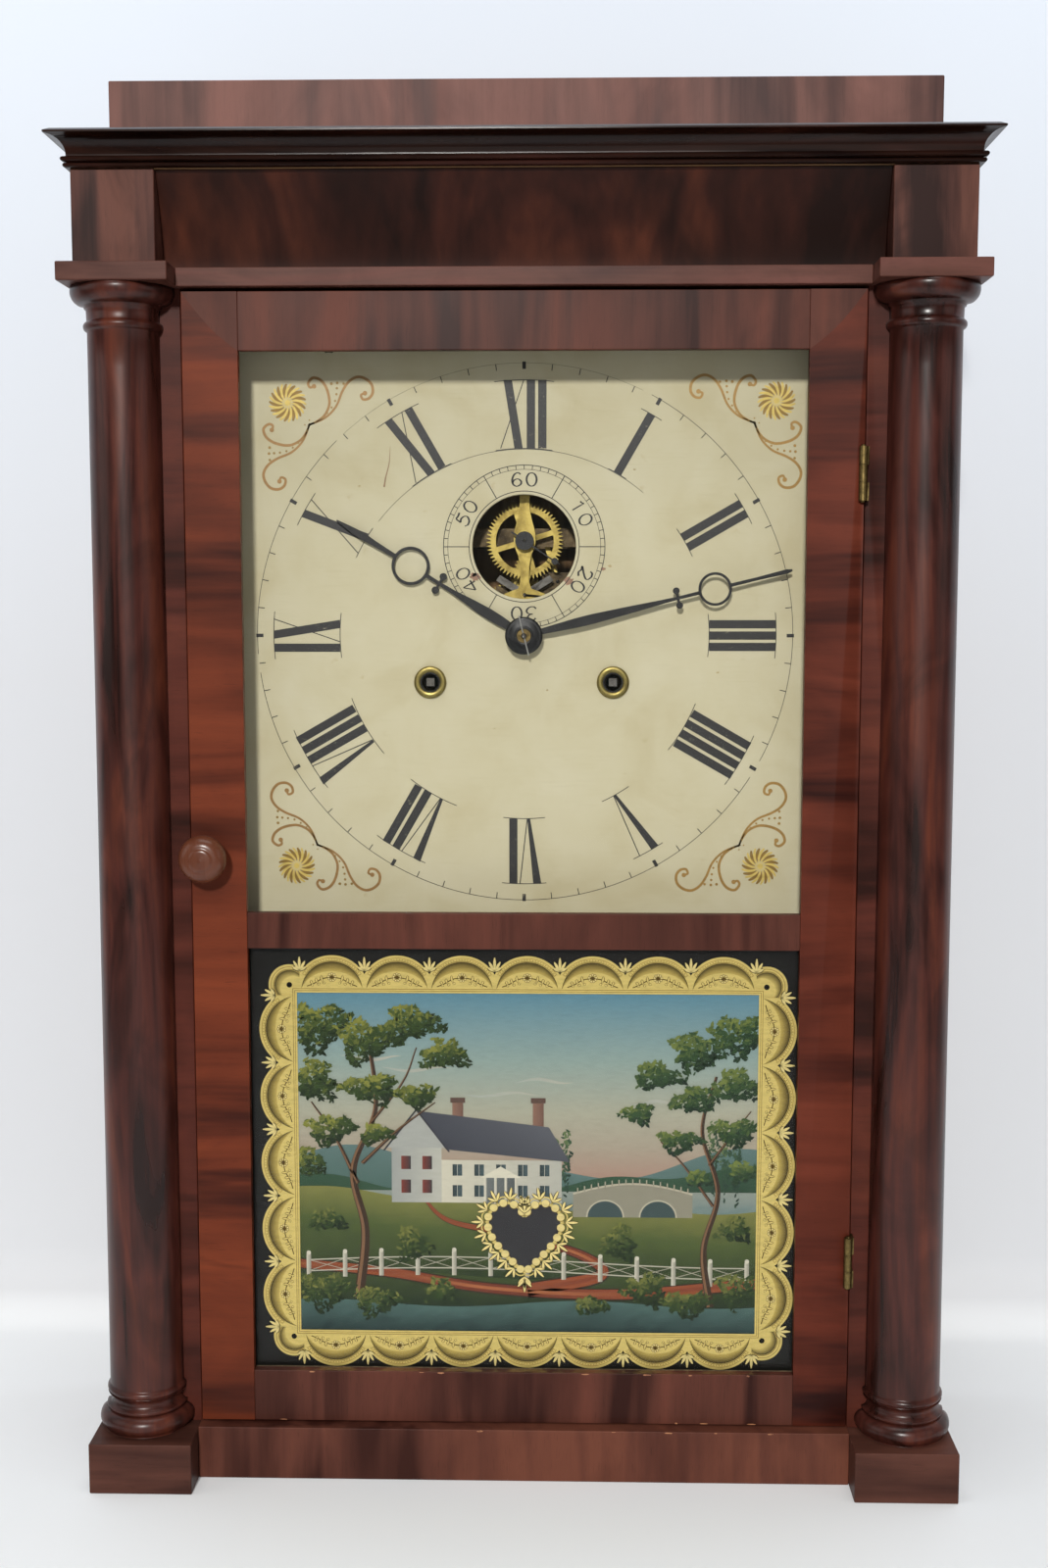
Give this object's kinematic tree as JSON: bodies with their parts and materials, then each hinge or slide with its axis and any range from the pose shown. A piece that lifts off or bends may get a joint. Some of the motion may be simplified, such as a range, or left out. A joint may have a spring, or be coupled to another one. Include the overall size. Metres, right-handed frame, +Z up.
{
  "type": "shelf clock",
  "caption": "Tall weight-driven shelf clock with half columns, cove cornice, glazed door over a painted tablet, open seconds dial, pendulum and striking side.",
  "frame": {"origin": "on the floor under the middle of the case's bounding box", "axes": "+X to the viewer's right, +Y from the door to the backboard, +Z up"},
  "size_m": [0.5034, 0.143, 0.787],
  "materials": {
    "mahogany": "shellacked mahogany veneer, satin",
    "turned_knob": "turned mahogany, polished",
    "pine": "bare aged pine",
    "painted_dial": "cream painted wood, aged matte",
    "clear_glass": "old clear glass",
    "painted_glass": "glass painted on the back",
    "old_brass": "aged brass",
    "black_hands": "black japanned steel",
    "steel": "dull steel",
    "iron": "dark cast iron",
    "cord": "braided flax cord"
  },
  "bodies": {
    "case": {"backboard": "pine", "case_sides": "mahogany", "top_board": "pine", "bottom_board": "pine", "stile_left": "mahogany", "stile_right": "mahogany", "base_rail": "mahogany", "base_blocks": "mahogany", "column_left": "mahogany", "column_right": "mahogany", "abaci": "mahogany", "architrave": "mahogany", "cove_frieze": "mahogany", "frieze_blocks": "mahogany", "cornice": "mahogany", "crest_board": "mahogany", "dial_panel": "painted_dial", "winding_grommets": "old_brass", "hinge_case_leaves": "old_brass", "hinge_pins": "old_brass", "front_plate": "old_brass", "back_plate": "old_brass", "gong": "steel", "pulley_brackets": "iron", "weight_cords": "cord", "time_cord_fall": "cord", "strike_cord_fall": "cord"},
    "door": {"door_stile_left": "mahogany", "door_stile_right": "mahogany", "door_top_rail": "mahogany", "door_mid_rail": "mahogany", "door_bottom_rail": "mahogany", "dial_glass": "clear_glass", "tablet_glass": "painted_glass", "hinge_door_leaves": "old_brass"},
    "knob": {"door_knob": "turned_knob"},
    "centre": {"centre_wheel": "old_brass", "minute_hand": "black_hands", "hand_washer": "old_brass"},
    "hour": {"hour_wheel": "old_brass", "hour_hand": "black_hands"},
    "motion": {"minute_wheel": "old_brass"},
    "time_great": {"time_great_wheel": "old_brass"},
    "time_second": {"time_second_wheel": "old_brass"},
    "third": {"third_wheel": "old_brass"},
    "escape": {"escape_wheel": "old_brass", "seconds_hand": "black_hands"},
    "verge": {"verge": "steel"},
    "pendulum": {"pendulum_rod": "steel", "pendulum_bob": "old_brass"},
    "time_drum": {"time_drum": "old_brass"},
    "time_pulley": {"time_pulley": "pine"},
    "time_weight": {"time_weight": "iron"},
    "strike_drum": {"strike_drum": "old_brass"},
    "strike_pulley": {"strike_pulley": "pine"},
    "strike_weight": {"strike_weight": "iron"},
    "strike_great": {"strike_great_wheel": "old_brass"},
    "strike_second": {"strike_second_wheel": "old_brass"},
    "strike_fly": {"strike_fly": "old_brass"},
    "hammer": {"hammer": "steel"}
  },
  "joints": [
    {"name": "door_hinge", "type": "hinge", "parent": "case", "child": "door", "pos_m": [0.184, -0.0456, 0.35], "axis": [0, 0, 1], "range_deg": [0, 120]},
    {"name": "knob_turn", "type": "hinge", "parent": "door", "child": "knob", "pos_m": [-0.176, -0.0435, 0.36], "axis": [0, 1, 0], "range_deg": [-90, 0]},
    {"name": "minute_turn", "type": "hinge", "parent": "case", "child": "centre", "pos_m": [0, 0, 0.482], "axis": [0, 1, 0], "continuous": true},
    {"name": "hour_turn", "type": "hinge", "parent": "case", "child": "hour", "pos_m": [0, 0, 0.482], "axis": [0, 1, 0], "continuous": true},
    {"name": "motion_turn", "type": "hinge", "parent": "case", "child": "motion", "pos_m": [-0.01273, 0, 0.46927], "axis": [0, 1, 0], "continuous": true},
    {"name": "time_great_turn", "type": "hinge", "parent": "case", "child": "time_great", "pos_m": [0.0505, 0, 0.4554], "axis": [0, 1, 0], "continuous": true},
    {"name": "time_second_turn", "type": "hinge", "parent": "case", "child": "time_second", "pos_m": [0.01502, 0, 0.44928], "axis": [0, 1, 0], "continuous": true},
    {"name": "third_turn", "type": "hinge", "parent": "case", "child": "third", "pos_m": [0.01891, 0, 0.51263], "axis": [0, 1, 0], "continuous": true},
    {"name": "escape_turn", "type": "hinge", "parent": "case", "child": "escape", "pos_m": [0, 0, 0.5356], "axis": [0, 1, 0], "continuous": true},
    {"name": "pendulum_swing", "type": "hinge", "parent": "case", "child": "pendulum", "pos_m": [0.024, 0, 0.507], "axis": [0, 1, 0], "range_deg": [-3, 3]},
    {"name": "verge_swing", "type": "hinge", "parent": "case", "child": "verge", "pos_m": [0, 0, 0.505], "axis": [0, 1, 0], "range_deg": [-3, 3]},
    {"name": "time_weight_slide", "type": "slide", "parent": "case", "child": "time_weight", "axis": [0, 0, 1], "range_m": [0, 0.42], "deforming": ["time_cord_fall"]},
    {"name": "time_drum_turn", "type": "hinge", "parent": "case", "child": "time_drum", "pos_m": [0.0505, 0, 0.4554], "axis": [0, 1, 0], "range_deg": [-2900, 0]},
    {"name": "time_pulley_turn", "type": "hinge", "parent": "case", "child": "time_pulley", "pos_m": [0.1689, 0, 0.7], "axis": [0, 1, 0], "range_deg": [-1141, 0]},
    {"name": "strike_weight_slide", "type": "slide", "parent": "case", "child": "strike_weight", "axis": [0, 0, 1], "range_m": [0, 0.42], "deforming": ["strike_cord_fall"]},
    {"name": "strike_drum_turn", "type": "hinge", "parent": "case", "child": "strike_drum", "pos_m": [-0.0535, 0, 0.4554], "axis": [0, 1, 0], "range_deg": [0, 2900]},
    {"name": "strike_pulley_turn", "type": "hinge", "parent": "case", "child": "strike_pulley", "pos_m": [-0.1689, 0, 0.7], "axis": [0, 1, 0], "range_deg": [0, 1141]},
    {"name": "strike_great_turn", "type": "hinge", "parent": "case", "child": "strike_great", "pos_m": [-0.0535, 0, 0.4554], "axis": [0, 1, 0], "continuous": true},
    {"name": "strike_second_turn", "type": "hinge", "parent": "case", "child": "strike_second", "pos_m": [-0.04725, 0, 0.49085], "axis": [0, 1, 0], "continuous": true},
    {"name": "strike_fly_turn", "type": "hinge", "parent": "case", "child": "strike_fly", "pos_m": [-0.04, 0, 0.5179], "axis": [0, 1, 0], "continuous": true},
    {"name": "hammer_lift", "type": "hinge", "parent": "case", "child": "hammer", "pos_m": [-0.05, 0, 0.4188], "axis": [0, 1, 0], "range_deg": [0, 6]}
  ],
  "couplings": [
    {"joint": "hour_turn", "follows": "minute_turn", "ratio": 0.083333},
    {"joint": "motion_turn", "follows": "minute_turn", "ratio": -0.33333},
    {"joint": "time_second_turn", "follows": "minute_turn", "ratio": -0.33333},
    {"joint": "time_great_turn", "follows": "minute_turn", "ratio": 0.041667},
    {"joint": "third_turn", "follows": "minute_turn", "ratio": -8},
    {"joint": "escape_turn", "follows": "minute_turn", "ratio": 60},
    {"joint": "verge_swing", "follows": "pendulum_swing", "ratio": 1},
    {"joint": "time_drum_turn", "follows": "time_weight_slide", "rad_per_m": -120.48},
    {"joint": "time_pulley_turn", "follows": "time_weight_slide", "rad_per_m": -47.393},
    {"joint": "strike_drum_turn", "follows": "strike_weight_slide", "rad_per_m": 120.48},
    {"joint": "strike_pulley_turn", "follows": "strike_weight_slide", "rad_per_m": 47.393},
    {"joint": "strike_second_turn", "follows": "strike_great_turn", "ratio": -8},
    {"joint": "strike_fly_turn", "follows": "strike_great_turn", "ratio": 72}
  ]
}
